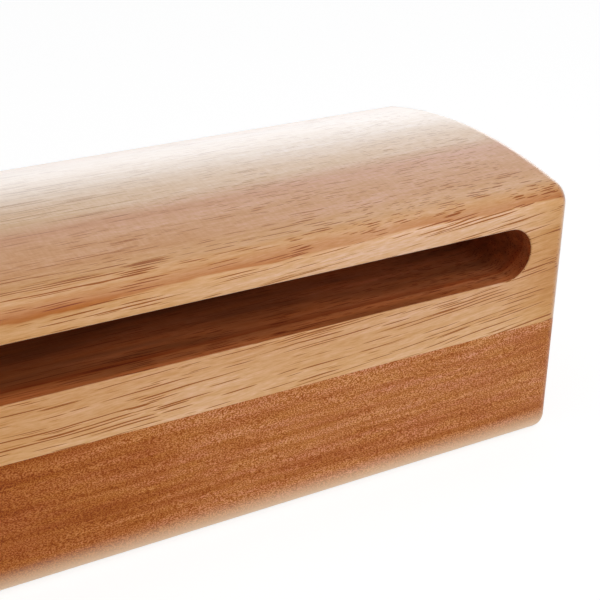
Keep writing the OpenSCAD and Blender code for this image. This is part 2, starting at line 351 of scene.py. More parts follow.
def vesselMask(tree, p, point, grain, ring):
    # 1 in the vessels: long thin cells, each with its own width, crowded in loose rows
    bent = noiseAt(tree, point, p["bendSize"], 0.0, "Color")
    bent = addNode(tree, "VectorMath", timesPlus, {0: bent, 1: p["bend"], 2: grain}, 0)
    sparse = addNode(tree, "MapRange", {}, across(ring, p["sparse"]), 0)
    crowd = addNode(tree, "Math", times, {0: streaks(tree, grain, *p["crowd"]), 1: sparse}, 0)
    mask = None
    for length, gap, widest in p["vessels"]:
        cell = addNode(tree, "VectorMath", over, {0: bent, 1: (length, gap, gap)}, 0)
        cell = addNode(tree, "TexVoronoi", {}, {"Vector": cell, "Scale": 1.0})
        chance = addNode(tree, "SeparateColor", {}, {"Color": cell.outputs["Color"]}, 0)
        radius = across(chance, (0, 1, p["thinnestShare"] * widest / gap, widest / gap))
        radius = addNode(tree, "MapRange", {}, radius, 0)
        radius = addNode(tree, "Math", times, {0: radius, 1: crowd}, 0)
        inside = addNode(tree, "Math", minus, {0: radius, 1: cell.outputs["Distance"]}, 0)
        one = addNode(tree, "MapRange", smooth, across(inside, p["vesselEdge"]), 0)
        mask = one if mask is None else addNode(tree, "Math", larger, {0: mask, 1: one}, 0)
    return mask


def ringColours(tree, p, ring):
    # the colour of each growth zone, from the list of rings
    first, last = p["rings"][0][0], p["lastRing"]
    zone = addNode(tree, "MapRange", {}, across(ring, (first, last)), 0)
    ramp = addNode(tree, "ValToRGB", {}, {"Fac": zone})
    elements = ramp.color_ramp.elements
    while len(elements) < len(p["rings"]):
        elements.new(0.5)
    for element, (ringAt, colour) in zip(elements, p["rings"]):
        element.position = (ringAt - first) / (last - first)
        element.color = hexToLinear(p[colour])
    return ramp.outputs[0]


def palePlankMaterial(name, lacquered):
    # Rubberwood: flat-sawn, planed, sanded and satin lacquered. Long vessels cut lengthwise give brown
    # dashes, growth zones give broad pale, amber and salmon bands, and the lacquer a soft sheen at grazing
    # angles. The routed slot inside is left bare and dull, and darkened to red brown by painted shade.
    p = palePlank
    material, tree = newMaterial(name)
    point = pointInMm(tree)
    x = addNode(tree, "SeparateXYZ", {}, {0: point}, 0)
    reach = addNode(tree, "Math", {"operation": "ABSOLUTE"}, {0: x}, 0)
    onEnd = addNode(tree, "MapRange", smooth, across(reach, p["endFace"]), 0)

    # the grain wanders, and climbs to the right in a shallow bow
    grain = wandering(tree, point, *p["wander"])
    climb = addNode(tree, "Math", timesPlus, {0: x, 1: -p["bow"], 2: -p["slope"]}, 0)
    climb = addNode(tree, "Math", times, {0: climb, 1: x}, 0)
    climb = addNode(tree, "CombineXYZ", {}, {"Z": climb}, 0)
    grain = addNode(tree, "VectorMath", plus, {0: grain, 1: climb}, 0)

    # ring coordinate: depth behind the amber line, with a slow wave
    ring = {0: point, 1: (p["ringSwing"], 1, p["ringLean"])}
    ring = addNode(tree, "VectorMath", {"operation": "DOT_PRODUCT"}, ring, "Value")
    start = p["ringStart"][0] + p["ringLean"] * p["ringStart"][1]
    size, detail, height = p["ringWave"]
    wave = streaks(tree, point, size, detail, -height - start, height - start)
    ring = addNode(tree, "Math", plus, {0: ring, 1: wave}, 0)

    amber = addNode(tree, "MapRange", smooth, across(ring, p["amberFoot"]), 0)
    top = addNode(tree, "MapRange", {}, across(ring, p["amberTop"]), 0)
    soft = addNode(tree, "Math", timesPlus, {0: onEnd, 1: p["amberOnEnd"] - 1, 2: 1.0}, 0)
    weaker = addNode(tree, "MapRange", {}, across(x, p["amberAlong"]), 0)
    for factor in (top, soft, weaker, streaks(tree, point, *p["amberPatches"])):
        amber = addNode(tree, "Math", times, {0: amber, 1: factor}, 0)

    # shade: the vessels, then rays, ends, a painted highlight line, a pale patch and growth rings, then
    # streaks of 0.3 to 5 mm
    vessels = vesselMask(tree, p, point, grain, ring)
    depth = addNode(tree, "MapRange", {}, across(ring, p["vesselDepth"]), 0)
    shade = addNode(tree, "Math", times, {0: vessels, 1: depth}, 0)
    shade = addNode(tree, "Math", minus, {0: 1.0, 1: shade}, 0)
    rays = streaks(tree, point, *p["rays"])
    for edge in p["rayEdges"]:
        strength = addNode(tree, "MapRange", {}, across(ring, edge), 0)
        rays = addNode(tree, "Math", times, {0: rays, 1: strength}, 0)
    rays = addNode(tree, "Math", plus, {0: rays, 1: 1.0}, 0)
    along = addNode(tree, "MapRange", {}, across(x, p["along"]), 0)
    endShade = addNode(tree, "MapRange", {}, across(ring, p["endShade"]), 0)
    ends = addNode(tree, "MapRange", smooth, across(reach, (*p["endReach"], 1.0, endShade)), 0)
    # painted highlight: a pale line along the top front rounding, just under the amber line
    paintedHighlight = addNode(tree, "MapRange", {}, across(x, p["paintedHighlight"]), 0)
    paintedHighlight = raisedWithin(tree, paintedHighlight, ring, p["paintedHighlightEdges"])
    palePatch = addNode(tree, "MapRange", smooth, across(ring, p["palePatch"]), 0)
    palePatch = raisedWithin(tree, palePatch, x, p["palePatchEdges"])
    heart = addNode(tree, "VectorMath", minus, {0: point, 1: p["heart"]}, 0)
    heart = addNode(tree, "VectorMath", times, {0: heart, 1: (0, 1, 1)}, 0)
    heart = addNode(tree, "VectorMath", {"operation": "LENGTH"}, {0: heart}, "Value")
    heart = addNode(tree, "CombineXYZ", {}, {"X": heart}, 0)
    growth = addNode(tree, "Math", timesPlus, {0: streaks(tree, heart, *p["growth"]), 1: onEnd, 2: 1.0}, 0)
    grainStreaks = [streaks(tree, grain, *one) for one in p["streaks"]]
    for factor in (growth, *grainStreaks, rays, along, ends, paintedHighlight, palePatch):
        shade = addNode(tree, "Math", times, {0: shade, 1: factor}, 0)

    tone = toneOf(tree, shade, p["falls"])
    wood = addNode(tree, "VectorMath", times, {0: ringColours(tree, p, ring), 1: tone}, 0)
    wood = addNode(tree, "Mix", {**blend, "blend_type": "MULTIPLY"},
                   {0: amber, colourA: wood, colourB: hexToLinear(p["amber"])}, blended)
    if not lacquered:
        # painted shade: the slot's inside is darkened to red brown, more at its round ends
        cutEnd = addNode(tree, "MapRange", smooth, across(reach, p["cutEnd"]), 0)
        slotShadeTint = {0: cutEnd, colourA: hexToLinear(p["slotShadeTint"]), colourB: hexToLinear(p["slotEndShadeTint"])}
        slotShadeTint = addNode(tree, "Mix", blend, slotShadeTint, blended)
        stain = streaks(tree, grain, *p["stain"])
        slotShadeTint = addNode(tree, "VectorMath", {"operation": "SCALE"}, {0: slotShadeTint, "Scale": stain}, 0)
        wood = addNode(tree, "VectorMath", times, {0: wood, 1: slotShadeTint}, 0)

    # open vessels are sunk, and the satin film has a faint texture
    scale, detail = p["film"]
    film = addNode(tree, "TexNoise", {}, {"Vector": point, "Scale": scale, "Detail": detail}, 0)
    height = addNode(tree, "Math", minus, {0: film, 1: vessels}, 0)
    strength, deep = p["bump"]
    bump = addNode(tree, "Bump", {}, {"Height": height, "Strength": strength, "Distance": deep * mm}, 0)
    if lacquered:
        dull = addNode(tree, "MapRange", {}, across(vessels, p["roughness"]), 0)
        finish = {"Roughness": dull, **p["lacquer"]}
    else:
        finish = p["unlacquered"]
    surface = {"Base Color": wood, "IOR": p["woodIndex"], "Normal": bump, **finish}
    addNode(tree, "OutputMaterial", {}, {"Surface": addNode(tree, "BsdfPrincipled", {}, surface, 0)})
    return material


darkPlank = {
    "brown": "c57a48",  # the plain wood
    "gold": "c88242",  # and its more golden patches
    "paintedFloorGlow": "f6d8b6",  # painted glow: the rounded bottom edge paled as if lit by the bright floor
    "falls": (0.69, 1.32, 2.9),  # how fast red, green and blue fall as the wood darkens
    "wander": ((70, 16, 16), 1.0, (0, 4, 4)),
    "fleck": ((0.34, 0.2, 0.2), 0.0, 0.5, 1.45),  # real vessels are finer, and drawn this coarse to show
    "bands": ((60, 5, 5), 1.0, 0.9, 1.07),
    "darkStreaks": ((28, 1.6, 1.6), 2.0, 1.14, 0.7),  # held at 1, so that they only darken
    "goldPatches": ((12, 1.8, 1.8), 2.0, 0.0, 1.0),
    "along": (-44, 16, 0.58, 1.0),  # redder and darker towards -X
    "goldenAlong": (15, 60, 0, 0.15),  # and paler towards +X
    "goldenHeight": (20, 28),  # under the glue line
    "endReach": (97, 99.9, 1.0, 0.8),
    # heights over which the painted floor glow fades in towards the bottom
    "paintedFloorGlowHeight": (6.6, 0.4),
    "bump": (0.15, 0.02),  # strength, and depth of the fleck in mm
    "lacquer": {"Roughness": 0.34, "IOR": 1.5, "Specular IOR Level": 0.15, "Sheen Weight": 0.5,
                "Sheen Roughness": 0.18},
}


def darkPlankMaterial():
    # Mahogany: quarter-sawn, sanded and satin lacquered. Short fine vessels make a dense dark and golden
    # fleck, and soft lengthwise bands and darker streaks a few millimetres high run through it.
    p = darkPlank
    material, tree = newMaterial("satin lacquered mahogany")
    point = pointInMm(tree)
    x, _, z = addNode(tree, "SeparateXYZ", {}, {0: point}).outputs
    reach = addNode(tree, "Math", {"operation": "ABSOLUTE"}, {0: x}, 0)
    grain = wandering(tree, point, *p["wander"])

    fleck = streaks(tree, grain, *p["fleck"])
    darkStreaks = streaks(tree, grain, *p["darkStreaks"])
    darkStreaks = addNode(tree, "Math", {"operation": "MINIMUM"}, {0: darkStreaks, 1: 1.0}, 0)
    along = addNode(tree, "MapRange", {}, across(x, p["along"]), 0)
    golden = addNode(tree, "MapRange", {}, across(x, p["goldenAlong"]), 0)
    golden = raisedWithin(tree, golden, z, [p["goldenHeight"]])
    ends = addNode(tree, "MapRange", smooth, across(reach, p["endReach"]), 0)
    shade = fleck
    for factor in (streaks(tree, grain, *p["bands"]), darkStreaks, along, golden, ends):
        shade = addNode(tree, "Math", times, {0: shade, 1: factor}, 0)
    patches = {0: streaks(tree, grain, *p["goldPatches"]), colourA: hexToLinear(p["brown"]),
               colourB: hexToLinear(p["gold"])}
    patches = addNode(tree, "Mix", blend, patches, blended)
    wood = addNode(tree, "VectorMath", times, {0: toneOf(tree, shade, p["falls"]), 1: patches}, 0)
    # painted glow: the rounded bottom edge is paler, as if lit by the bright floor below
    paintedFloorGlow = addNode(tree, "MapRange", smooth, across(z, p["paintedFloorGlowHeight"]), 0)
    wood = addNode(tree, "Mix", blend, {0: paintedFloorGlow, colourA: wood, colourB: hexToLinear(p["paintedFloorGlow"])}, blended)

    strength, deep = p["bump"]
    bump = addNode(tree, "Bump", {}, {"Height": fleck, "Strength": strength, "Distance": deep * mm}, 0)
    surface = {"Base Color": wood, "Normal": bump, **p["lacquer"]}
    addNode(tree, "OutputMaterial", {}, {"Surface": addNode(tree, "BsdfPrincipled", {}, surface, 0)})
    return material


plating = {
    "cloudReach": (0.3, 0.7),  # nearly all of the fine noise lies between these
    "cloudDetail": 3.0,
    "patchReach": (0.35, 0.65),
    "patchScale": 0.4,  # of the colour patches, against the clouds
    "patchDetail": 1.0,
    "bump": (0.2, 0.02),  # strength, and height of the polishing waves in mm
}


def platedMaterial(name, colour, tint, roughness, spread, scale):
    # Plated metal: full metal in two close colours, with a cloudy roughness from handling and faint
    # polishing waves; scale is their number per mm
    p = plating
    material, tree = newMaterial(name)
    point = pointInMm(tree)
    cloud = addNode(tree, "TexNoise", {}, {"Vector": point, "Scale": scale, "Detail": p["cloudDetail"]}, 0)
    rough = across(cloud, (*p["cloudReach"], roughness - spread, roughness + spread))
    rough = addNode(tree, "MapRange", {}, rough, 0)
    patch = {"Vector": point, "Scale": scale * p["patchScale"], "Detail": p["patchDetail"]}
    patch = addNode(tree, "TexNoise", {}, patch, 0)
    patch = addNode(tree, "MapRange", {}, across(patch, p["patchReach"]), 0)
    metal = {0: patch, colourA: hexToLinear(colour), colourB: hexToLinear(tint)}
    metal = addNode(tree, "Mix", blend, metal, blended)
    strength, high = p["bump"]
    bump = addNode(tree, "Bump", {}, {"Height": cloud, "Strength": strength, "Distance": high * mm}, 0)
    surface = {"Base Color": metal, "Metallic": 1.0, "Roughness": rough, "Normal": bump}
    addNode(tree, "OutputMaterial", {}, {"Surface": addNode(tree, "BsdfPrincipled", {}, surface, 0)})
    return material


paleWood = palePlankMaterial("satin lacquered rubberwood", True)
# the slot's inside: unlacquered, and darkened by painted shade
bareWoodWithPaintedShade = palePlankMaterial("bare routed rubberwood with painted shade", False)
darkWood = darkPlankMaterial()
stripChrome = platedMaterial("chrome-plated steel strip", "c6cacf", "cfd1d2", 0.15, 0.04, 0.35)
chrome = platedMaterial("polished chrome plate", "cdd0d3", "c6cace", 0.1, 0.03, 0.5)
# passivated, so faintly blue and yellow
zinc = platedMaterial("bright zinc plate", "b4bac2", "c6c2b4", 0.32, 0.07, 0.8)
castZinc = platedMaterial("nickel-plated zinc casting", "c2bfb8", "b9b8b4", 0.27, 0.06, 0.6)
print("materials made")


# the two blocks

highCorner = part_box("resonator_block")[1]
block = {
    "halfLength": highCorner.x,
    "halfDepth": highCorner.y,
    "height": highCorner.z,
    "glueLine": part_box("base_block")[1].z,
    "domeRise": 4.6 * mm,
    "topRound": 5.2 * mm,
    "edgeRound": 3.5 * mm,
    "slotHeight": 12 * mm,
    "slotDepth": 48 * mm,
    "slotEndWall": 10.4 * mm,
    "slotFloor": 12.1 * mm,
    "lipRound": 0.3 * mm,  # the sanded lip of the slot
    "cutterCorner": 0.6 * mm,  # the cutter's own corner at the back of the slot
    # how finely the surfaces are divided
    "endSteps": 12,  # round the edge of each end
    "topSteps": 14,  # round each top edge
    "crownSteps": 60,
    "wallSteps": 26,  # up the front and the back of the sound block
    "cheekSteps": 8,  # from an end to the slot's round end
    "slotSteps": 80,
    "lipSteps": 6,
    "depthSteps": 13,
    "frontShares": (0.33, 0.66),  # of the way from the front's rim to the lip
    "bottomSteps": 12,  # round each bottom edge of the base
    "baseWallSteps": 10,
    "baseSteps": 59,  # along the base
}


def arcPoints(centreY, centreZ, radius, fromAngle, toAngle, steps):
    # a circle's arc as (y, z) points with their outward directions
    angle = np.radians(np.linspace(fromAngle, toAngle, steps + 1))
    out = np.c_[np.cos(angle), np.sin(angle)]
    return np.c_[centreY, centreZ] + radius * out, out


def loftStations(b, straight):
    # x places and how far each section is drawn in: quarter circles at both ends, straight places between
    angle = np.radians(np.linspace(90, 0, b["endSteps"] + 1))
    endX = b["halfLength"] - b["edgeRound"] * (1 - np.cos(angle))
    endIn = b["edgeRound"] * (1 - np.sin(angle))
    x = np.concatenate([-endX[::-1], straight[1:-1], endX])
    return x, np.concatenate([endIn[::-1], np.zeros(len(straight) - 2), endIn])


def blockSkin(b, outline, outward, straight):
    # every section is the outline drawn in along its own outward directions, at each x place
    x, drawnIn = loftStations(b, straight)
    points = np.empty((len(x), len(outline), 3))
    points[..., 0] = x[:, None]
    points[..., 1:] = outline[None] - drawnIn[:, None, None] * outward[None]
    return points


def openEdge(rows, columns):
    # the face that closes a skin between the first and the last point of its sections
    starts = [row * columns for row in range(rows)]
    return starts + [start + columns - 1 for start in reversed(starts)]


def domedOutline(b):
    # up the back wall, round its top edge, over the crown, round the front's top edge and down the front
    h, r, steps = b["halfDepth"], b["topRound"], b["wallSteps"]
    crownR = (h * h + b["domeRise"] ** 2) / (2 * b["domeRise"])
    crownZ = b["height"] - crownR
    cornerY = h - r
    cornerZ = crownZ + math.sqrt((crownR - r) ** 2 - cornerY ** 2)
    lean = math.degrees(math.atan2(cornerY, cornerZ - crownZ))
    edge, edgeOut = arcPoints(cornerY, cornerZ, r, 0, 90 - lean, b["topSteps"])
    crown, crownOut = arcPoints(0, crownZ, crownR, 90 - lean, 90 + lean, b["crownSteps"])
    back = np.c_[np.full(steps, h), np.linspace(b["glueLine"], cornerZ, steps + 1)[:-1]]
    wallOut = np.tile([1.0, 0.0], (steps, 1))
    points = np.concatenate([back, edge, crown[1:-1], edge[::-1] * [-1, 1], back[::-1] * [-1, 1]])
    out = np.concatenate([wallOut, edgeOut, crownOut[1:-1], edgeOut[::-1] * [-1, 1], wallOut * [-1, 1]])
    return points, out


def resonator(b):
    # The domed skin leaves out its flat front. There a sheet runs from that opening's rim to the slot's
    # mouth, round the lip, down the slot and over its back: every rim point goes to the nearest point of the
    # slot's middle line, and each ring of the sheet keeps one distance from that line.
    slotR = b["slotHeight"] / 2
    slotZ = b["glueLine"] + b["slotFloor"] + slotR
    slotX = b["halfLength"] - b["slotEndWall"] - slotR
    flatX = b["halfLength"] - b["edgeRound"]
    cheek = np.linspace(-flatX, -slotX, b["cheekSteps"] + 1)
    straight = np.concatenate([cheek[:-1], np.linspace(-slotX, slotX, b["slotSteps"] + 1), -cheek[-2::-1]])
    outline, outward = domedOutline(b)
    skin = blockSkin(b, outline, outward, straight)
    rows, columns = skin.shape[:2]
    flat = np.arange(b["endSteps"], rows - b["endSteps"])  # the sections between the rounded ends
    front = np.arange(columns - b["wallSteps"] - 1, columns)  # points on the front wall, from the top down

    def onFlatFront(face):
        row, column = divmod(face[0], columns)
        return flat[0] <= row < flat[-1] and column >= front[0]

    faces = [face for face in gridFaces(rows, columns) if not onFlatFront(face)]
    points = [skin.reshape(-1, 3)]
    # flat ends and the glued underside
    faces.append(list(range(columns - 1, -1, -1)))
    faces.append(list(range((rows - 1) * columns, rows * columns)))
    faces.append(openEdge(rows, columns))

    # rim of the opening, once round: along the top, down the right, back along the bottom, up the left
    rim = np.concatenate([skin[flat, front[0]], skin[flat[-1], front[1:]], skin[flat[::-1][1:], front[-1]],
                          skin[flat[0], front[::-1][1:-1]]])
    line = np.c_[np.clip(rim[:, 0], -slotX, slotX), np.full(len(rim), slotZ)]
    away = rim[:, [0, 2]] - line
    far = np.linalg.norm(away, axis=1, keepdims=True)
    away /= far
    mouthY = -b["halfDepth"]
    backY = mouthY + b["slotDepth"]
    lip, corner = b["lipRound"], b["cutterCorner"]
    turn = np.radians(np.linspace(0, 90, b["lipSteps"] + 1))
    # each ring: (distance from the middle line, y)
    rings = [(far + share * (slotR + lip - far), mouthY) for share in b["frontShares"]]
    rings += [(slotR + lip * (1 - math.sin(a)), mouthY + lip * (1 - math.cos(a))) for a in turn]
    bareRings = len(rings)  # the rings after these are inside the lip
    rings += [(slotR, mouthY + 2 * lip)]
    rings += [(slotR, y) for y in np.linspace(mouthY + 3 * lip, backY - corner, b["depthSteps"] + 1)]
    rings += [(slotR - corner * (1 - math.cos(a)), backY - corner * (1 - math.sin(a))) for a in turn[1:]]
    rings += [(slotR / 2, backY), (0.0, backY)]
    sheet = [rim]
    for distance, y in rings:
        ring = line + away * distance
        sheet.append(np.c_[ring[:, 0], np.full(len(rim), y), ring[:, 1]])
    sheet = np.array(sheet)
    faces += gridFaces(sheet.shape[0], sheet.shape[1], start=rows * columns, closed=True)
    points.append(sheet.reshape(-1, 3))
    bareFrom = len(faces) - (len(rings) - bareRings) * len(rim)
    return np.concatenate(points), faces, bareFrom


def baseSlab(b):
    # sections from the glue line down the front, round the bottom edges and up the back
    h, r, walls = b["halfDepth"], b["edgeRound"], b["baseWallSteps"]
    edge, edgeOut = arcPoints(h - r, r, r, -90, 0, b["bottomSteps"])
    wall = np.c_[np.full(walls, h), np.linspace(r, b["glueLine"], walls + 1)[1:]]
    wallOut = np.tile([1.0, 0.0], (walls, 1))
    right, rightOut = np.concatenate([edge, wall]), np.concatenate([edgeOut, wallOut])
    outline = np.concatenate([right[::-1] * [-1, 1], right])
    outward = np.concatenate([rightOut[::-1] * [-1, 1], rightOut])
    flatX = b["halfLength"] - r
    skin = blockSkin(b, outline, outward, np.linspace(-flatX, flatX, b["baseSteps"] + 1))
    rows, columns = skin.shape[:2]
    faces = gridFaces(rows, columns)
    faces.append(list(range(columns)))
    faces.append(list(range(rows * columns - 1, (rows - 1) * columns - 1, -1)))
    faces.append(openEdge(rows, columns))
    return skin.reshape(-1, 3), faces


points, faces, bareFrom = resonator(block)
woods = ([paleWood, bareWoodWithPaintedShade], bareFrom)
meshPiece("resonator", points, faces, woods, "block", ["resonator_block"])
points, faces = baseSlab(block)
meshPiece("base", points, faces, darkWood, "block", ["base_block"])
print("blocks made")


# the rod clamp on the back, worked out in millimetres about the bolt's axis

clamp = {
    "axisHeight": 16.0,  # of the bolt above the table
    "rodY": 44.45,  # where the holder rod crosses the bolt
    "boltRadius": 3.0,
    "boltPitch": 1.0,
    "threadDepth": 0.54,
    "threadGap": 0.05,  # between the bolt's thread and the nut's
    "columns": 72,  # points round the bolt
    "sharpAngle": 32,  # degrees, above which an edge of bolt, nut and screws is shaded sharp
}


def onClamp(points, y, x=0.0, z=0.0):
    # local (u, v, along) points to the frame, in metres: along runs out of the back of the block
    u, v, along = points.reshape(-1, 3).T
    return np.c_[x + u, y + along, clamp["axisHeight"] + z - v] * mm


def softCorners(corners, steps=5):
    # a path of (a, b, radius) corners: each becomes the arc of its radius that touches both of its sides
    path = []
    for i, (a, b, radius) in enumerate(corners):
        here = np.array([a, b])
        if radius == 0:
            path.append(here[None])
            continue
        sides = [np.array(corners[j % len(corners)][:2]) - here for j in (i - 1, i + 1)]
        sides = [s / np.linalg.norm(s) for s in sides]
        halfAngle = math.acos(float(np.clip(sides[0] @ sides[1], -1, 1))) / 2
        middle = (sides[0] + sides[1]) / np.linalg.norm(sides[0] + sides[1])
        centre = here + middle * radius / math.sin(halfAngle)
        share = np.linspace(0, 1, steps + 1)[:, None]
        touch = [here + s * radius / math.tan(halfAngle) - centre for s in sides]
        arc = touch[0] * (1 - share) + touch[1] * share
        path.append(centre + radius * arc / np.linalg.norm(arc, axis=1, keepdims=True))
    return np.concatenate(path)


def turned(profile, columns, closed=True):
    # a profile of (radius, along) points turned once about the axis; closed joins its last point to the first
    profile = np.concatenate([profile, profile[:1]]) if closed else profile
    turn = np.linspace(0, 2 * np.pi, columns, endpoint=False)
    radius, along = profile[:, 0, None], profile[:, 1, None]
    points = np.stack(np.broadcast_arrays(radius * np.cos(turn), radius * np.sin(turn), along), -1)
    return points.reshape(-1, 3), gridFaces(len(profile), columns, closed=True)


# one pitch of a thread: places as shares of the pitch, and heights as shares of the depth there
threadPlaceShares = np.array([0.0, 0.125, 0.25, 0.40625, 0.5625, 0.625, 0.6875, 0.84375])
threadHeightShares = np.array([0.0, 0.0, 0.0, 0.5, 1.0, 1.0, 1.0, 0.5])


def helix(start, end, pitch, crest, depth, columns, limit):
    # Thread: along one pitch the radius is a flat root, a flank, a narrow flat crest and a flank. The rows
    # climb one pitch per turn, so the edges of the thread run along them. limit(along, radius) shapes both
    # ends, where the places are held at start and end. Two threads with one pitch mesh, because places are
    # the axis's own.
    firstTurn, lastTurn = math.floor(start / pitch) - 1, math.ceil(end / pitch) + 1
    along = pitch * (np.arange(firstTurn, lastTurn)[:, None] + threadPlaceShares[None]).reshape(-1, 1)
    radius = np.tile(crest - depth * (1 - threadHeightShares), lastTurn - firstTurn)[:, None]
    turn = np.linspace(0, 2 * np.pi, columns + 1)[None]
    along = np.clip(along + pitch * turn / (2 * np.pi), start, end)
    radius = limit(along, np.broadcast_to(radius, along.shape))
    points = np.stack([radius * np.cos(turn), radius * np.sin(turn), along], -1)
    return points.reshape(-1, 3), gridFaces(len(points), columns + 1), len(points)


def joined(shells):
    # several (points, faces) shells as one
    starts = np.cumsum([0] + [len(points) for points, _ in shells])
    faces = [[int(start) + i for i in face] for start, (_, some) in zip(starts, shells) for face in some]
    return np.concatenate([points for points, _ in shells]), faces


def capped(points, faces, rows, width):
    # closes both open ends of a helix with a flat face
    return points, faces + [list(range(width - 1)), list(range((rows - 1) * width, rows * width - 1))]


eyeBolt = {
    "holeRadius": 5.0,
    "ring": 4.45,  # of metal round the hole
    "width": 8.0,
    "outerRound": 1.2,
    "holeRound": 0.35,
    "roundSteps": 6,
    "ringColumns": 120,
    "collarRadius": 3.8,
    "collarEnd": 55.5,
    "collarRound": 0.3,
    "neckFlare": 1.3,
    "neckSink": 0.6,  # how far the flared foot reaches into the ring
    "neckStart": 0.25,  # of the plain neck, out from the ring
    "neckRound": 0.7,
    "stemEnd": 75.0,
    "stemSink": 0.4,  # how far the stem reaches into the collar
    "tipChamfer": 0.7,
    "runOut": 1.4,  # the thread's roots fade towards the collar
}


def eyeBoltShells(e):
    # the eye is a rounded section turned about the rod, the neck and collar are turned about the bolt, and
    # the thread follows its helix from the collar to the tip
    half, inner, outer = e["width"] / 2, e["holeRadius"], e["holeRadius"] + e["ring"]
    section = softCorners([(inner, -half, e["holeRound"]), (outer, -half, e["outerRound"]),
                           (outer, half, e["outerRound"]), (inner, half, e["holeRound"])], e["roundSteps"])
    ring, ringFaces = turned(section, e["ringColumns"])
    ring = np.c_[ring[:, 2], -ring[:, 1], ring[:, 0]]  # the ring's axis lies along the rod
    inside, r = outer - e["ring"] / 2, e["collarRadius"]
    foot, collarEnd = r + e["neckFlare"], e["collarEnd"] - clamp["rodY"]
    neck = softCorners([(0, inside, 0), (foot, inside, 0), (foot, outer - e["neckSink"], 0),
                        (r, outer + e["neckStart"], e["neckRound"]), (r, collarEnd, e["collarRound"]),
                        (0, collarEnd, 0)])
    neck, neckFaces = turned(neck, clamp["columns"], closed=False)
    crest = clamp["boltRadius"]
    start, end = e["collarEnd"] - e["stemSink"], e["stemEnd"]

    def ends(along, radius):
        fade = crest - clamp["threadDepth"] * np.clip((along - e["collarEnd"]) / e["runOut"], 0, 1)
        tip = crest - np.clip(along - end + e["tipChamfer"], 0, None)
        return np.minimum(np.maximum(radius, fade), tip)

    stem = helix(start, end, clamp["boltPitch"], crest, clamp["threadDepth"], clamp["columns"], ends)
    points, faces = capped(*stem, clamp["columns"] + 1)
    return joined([(onClamp(ring, clamp["rodY"]), ringFaces), (onClamp(neck, clamp["rodY"]), neckFaces),
                   (onClamp(points, 0.0), faces)])


wingNut = {
    "foot": 64.0,
    "hubRadius": 6.0,
    "hubFootRound": 0.35,
    "hubTopRadius": 4.8,
    "hubTopRound": 0.8,
    "hubHeight": 8.0,
    "boreChamfer": 3.5,  # radius where the thread opens
    "lobeRadius": 4.2,
    "lobe": (9.8, 10.8),  # centre of the round tip, out from the axis and up from the foot
    "wingRoot": 2.0,  # inside the hub
    "wingLow": (4.4, 1.3),
    "wingHigh": (4.2, 7.0),
    "hollow": (0.45, -0.35),  # how far the upper edge's middle is pulled down and out
    "halfThick": 1.2,
    "edgeRound": 0.95,
    "crownIn": (1.6, 2.3),  # the sides rise slightly, in two rings drawn in this far
    "crownRise": (0.05, 0.08),
    "rootFlare": 0.35,  # how much thicker the wing gets at the hub
    "flareStart": 4.2,
    "flareReach": 2.0,
    "lobeSteps": 39,
    "sideSteps": 11,
    "roundSteps": 6,
}


def wingShell(w):
    # Outline: a straight lower edge that touches the round tip, the tip's arc, and a hollow upper edge back
    # to the hub. Every ring is the outline drawn in along its own outward directions.
    centre, r = np.array(w["lobe"]), w["lobeRadius"]
    touches = []
    for start, side in ((w["wingLow"], -1), (w["wingHigh"], 1)):
        way = centre - start
        far = np.linalg.norm(way)
        touches.append(math.atan2(way[1], way[0]) + side * (math.pi / 2 + math.asin(r / far)))
    arc = np.linspace(*touches, w["lobeSteps"] + 1)
    arc = centre + r * np.c_[np.cos(arc), np.sin(arc)]
    share = np.linspace(0, 1, w["sideSteps"] + 1)[:, None]
    low = np.array([w["wingLow"]]) * (1 - share) + arc[0] * share
    hollow = (arc[-1] + w["wingHigh"]) / 2 + w["hollow"]
    high = arc[-1] * (1 - share) ** 2 + hollow * 2 * share * (1 - share)
    high = high + np.array([w["wingHigh"]]) * share ** 2
    root = [[(w["wingRoot"], edge[1])] for edge in (w["wingLow"], w["wingHigh"])]
    outline = np.concatenate([root[0], low[:-1], arc, high[1:], root[1]])
    along = np.roll(outline, -1, axis=0) - np.roll(outline, 1, axis=0)
    outward = np.c_[along[:, 1], -along[:, 0]] / np.linalg.norm(along, axis=1, keepdims=True)
    a = np.radians(np.linspace(0, 90, w["roundSteps"] + 1))
    drawnIn = np.r_[w["edgeRound"] * (1 - np.cos(a)), w["crownIn"]]
    level = w["halfThick"] - w["edgeRound"] * (1 - np.sin(a))
    level = np.r_[level, level[-1] + w["crownRise"]]
    drawnIn, level = np.r_[drawnIn[::-1], drawnIn], np.r_[-level[::-1], level]
    rings = outline[None] - drawnIn[:, None, None] * outward[None]
    flare = np.exp(-np.clip(rings[..., 0] - w["flareStart"], 0, None) / w["flareReach"])
    points = np.stack([rings[..., 0], level[:, None] * (1 + w["rootFlare"] * flare), rings[..., 1]], -1)
    count = len(outline)
    faces = gridFaces(len(points), count, closed=True)
    # a strip from the lower edge to the upper one closes each side
    for start in (0, (len(points) - 1) * count):
        last = start + count - 1
        faces += [[start + i, start + i + 1, last - i - 1, last - i] for i in range(count // 2 - 1)]
    return points.reshape(-1, 3), faces


def wingNutShells(w):
    # the hub's profile is turned about the bolt, its bore carries the thread that meshes with the bolt's, and
    # the second wing is the first turned by half a turn
    top, opening, gap = w["hubHeight"], w["boreChamfer"], clamp["threadGap"]
    hub = softCorners([(opening, 0, 0), (w["hubRadius"], 0, w["hubFootRound"]),
                       (w["hubTopRadius"], top, w["hubTopRound"]), (opening, top, 0)])
    hub, hubFaces = turned(hub, clamp["columns"], closed=False)

    def ends(along, radius):
        return np.maximum(radius, opening - np.minimum(along - w["foot"], w["foot"] + top - along))

    bore, boreFaces, _ = helix(w["foot"], w["foot"] + top, clamp["boltPitch"], clamp["boltRadius"] + gap,
                               clamp["threadDepth"], clamp["columns"], ends)
    wing, wingFaces = wingShell(w)
    wings = [(onClamp(wing * [side, side, 1], w["foot"]), wingFaces) for side in (1, -1)]
    return joined([(onClamp(hub, w["foot"]), hubFaces), (onClamp(bore, 0.0), boreFaces), *wings])


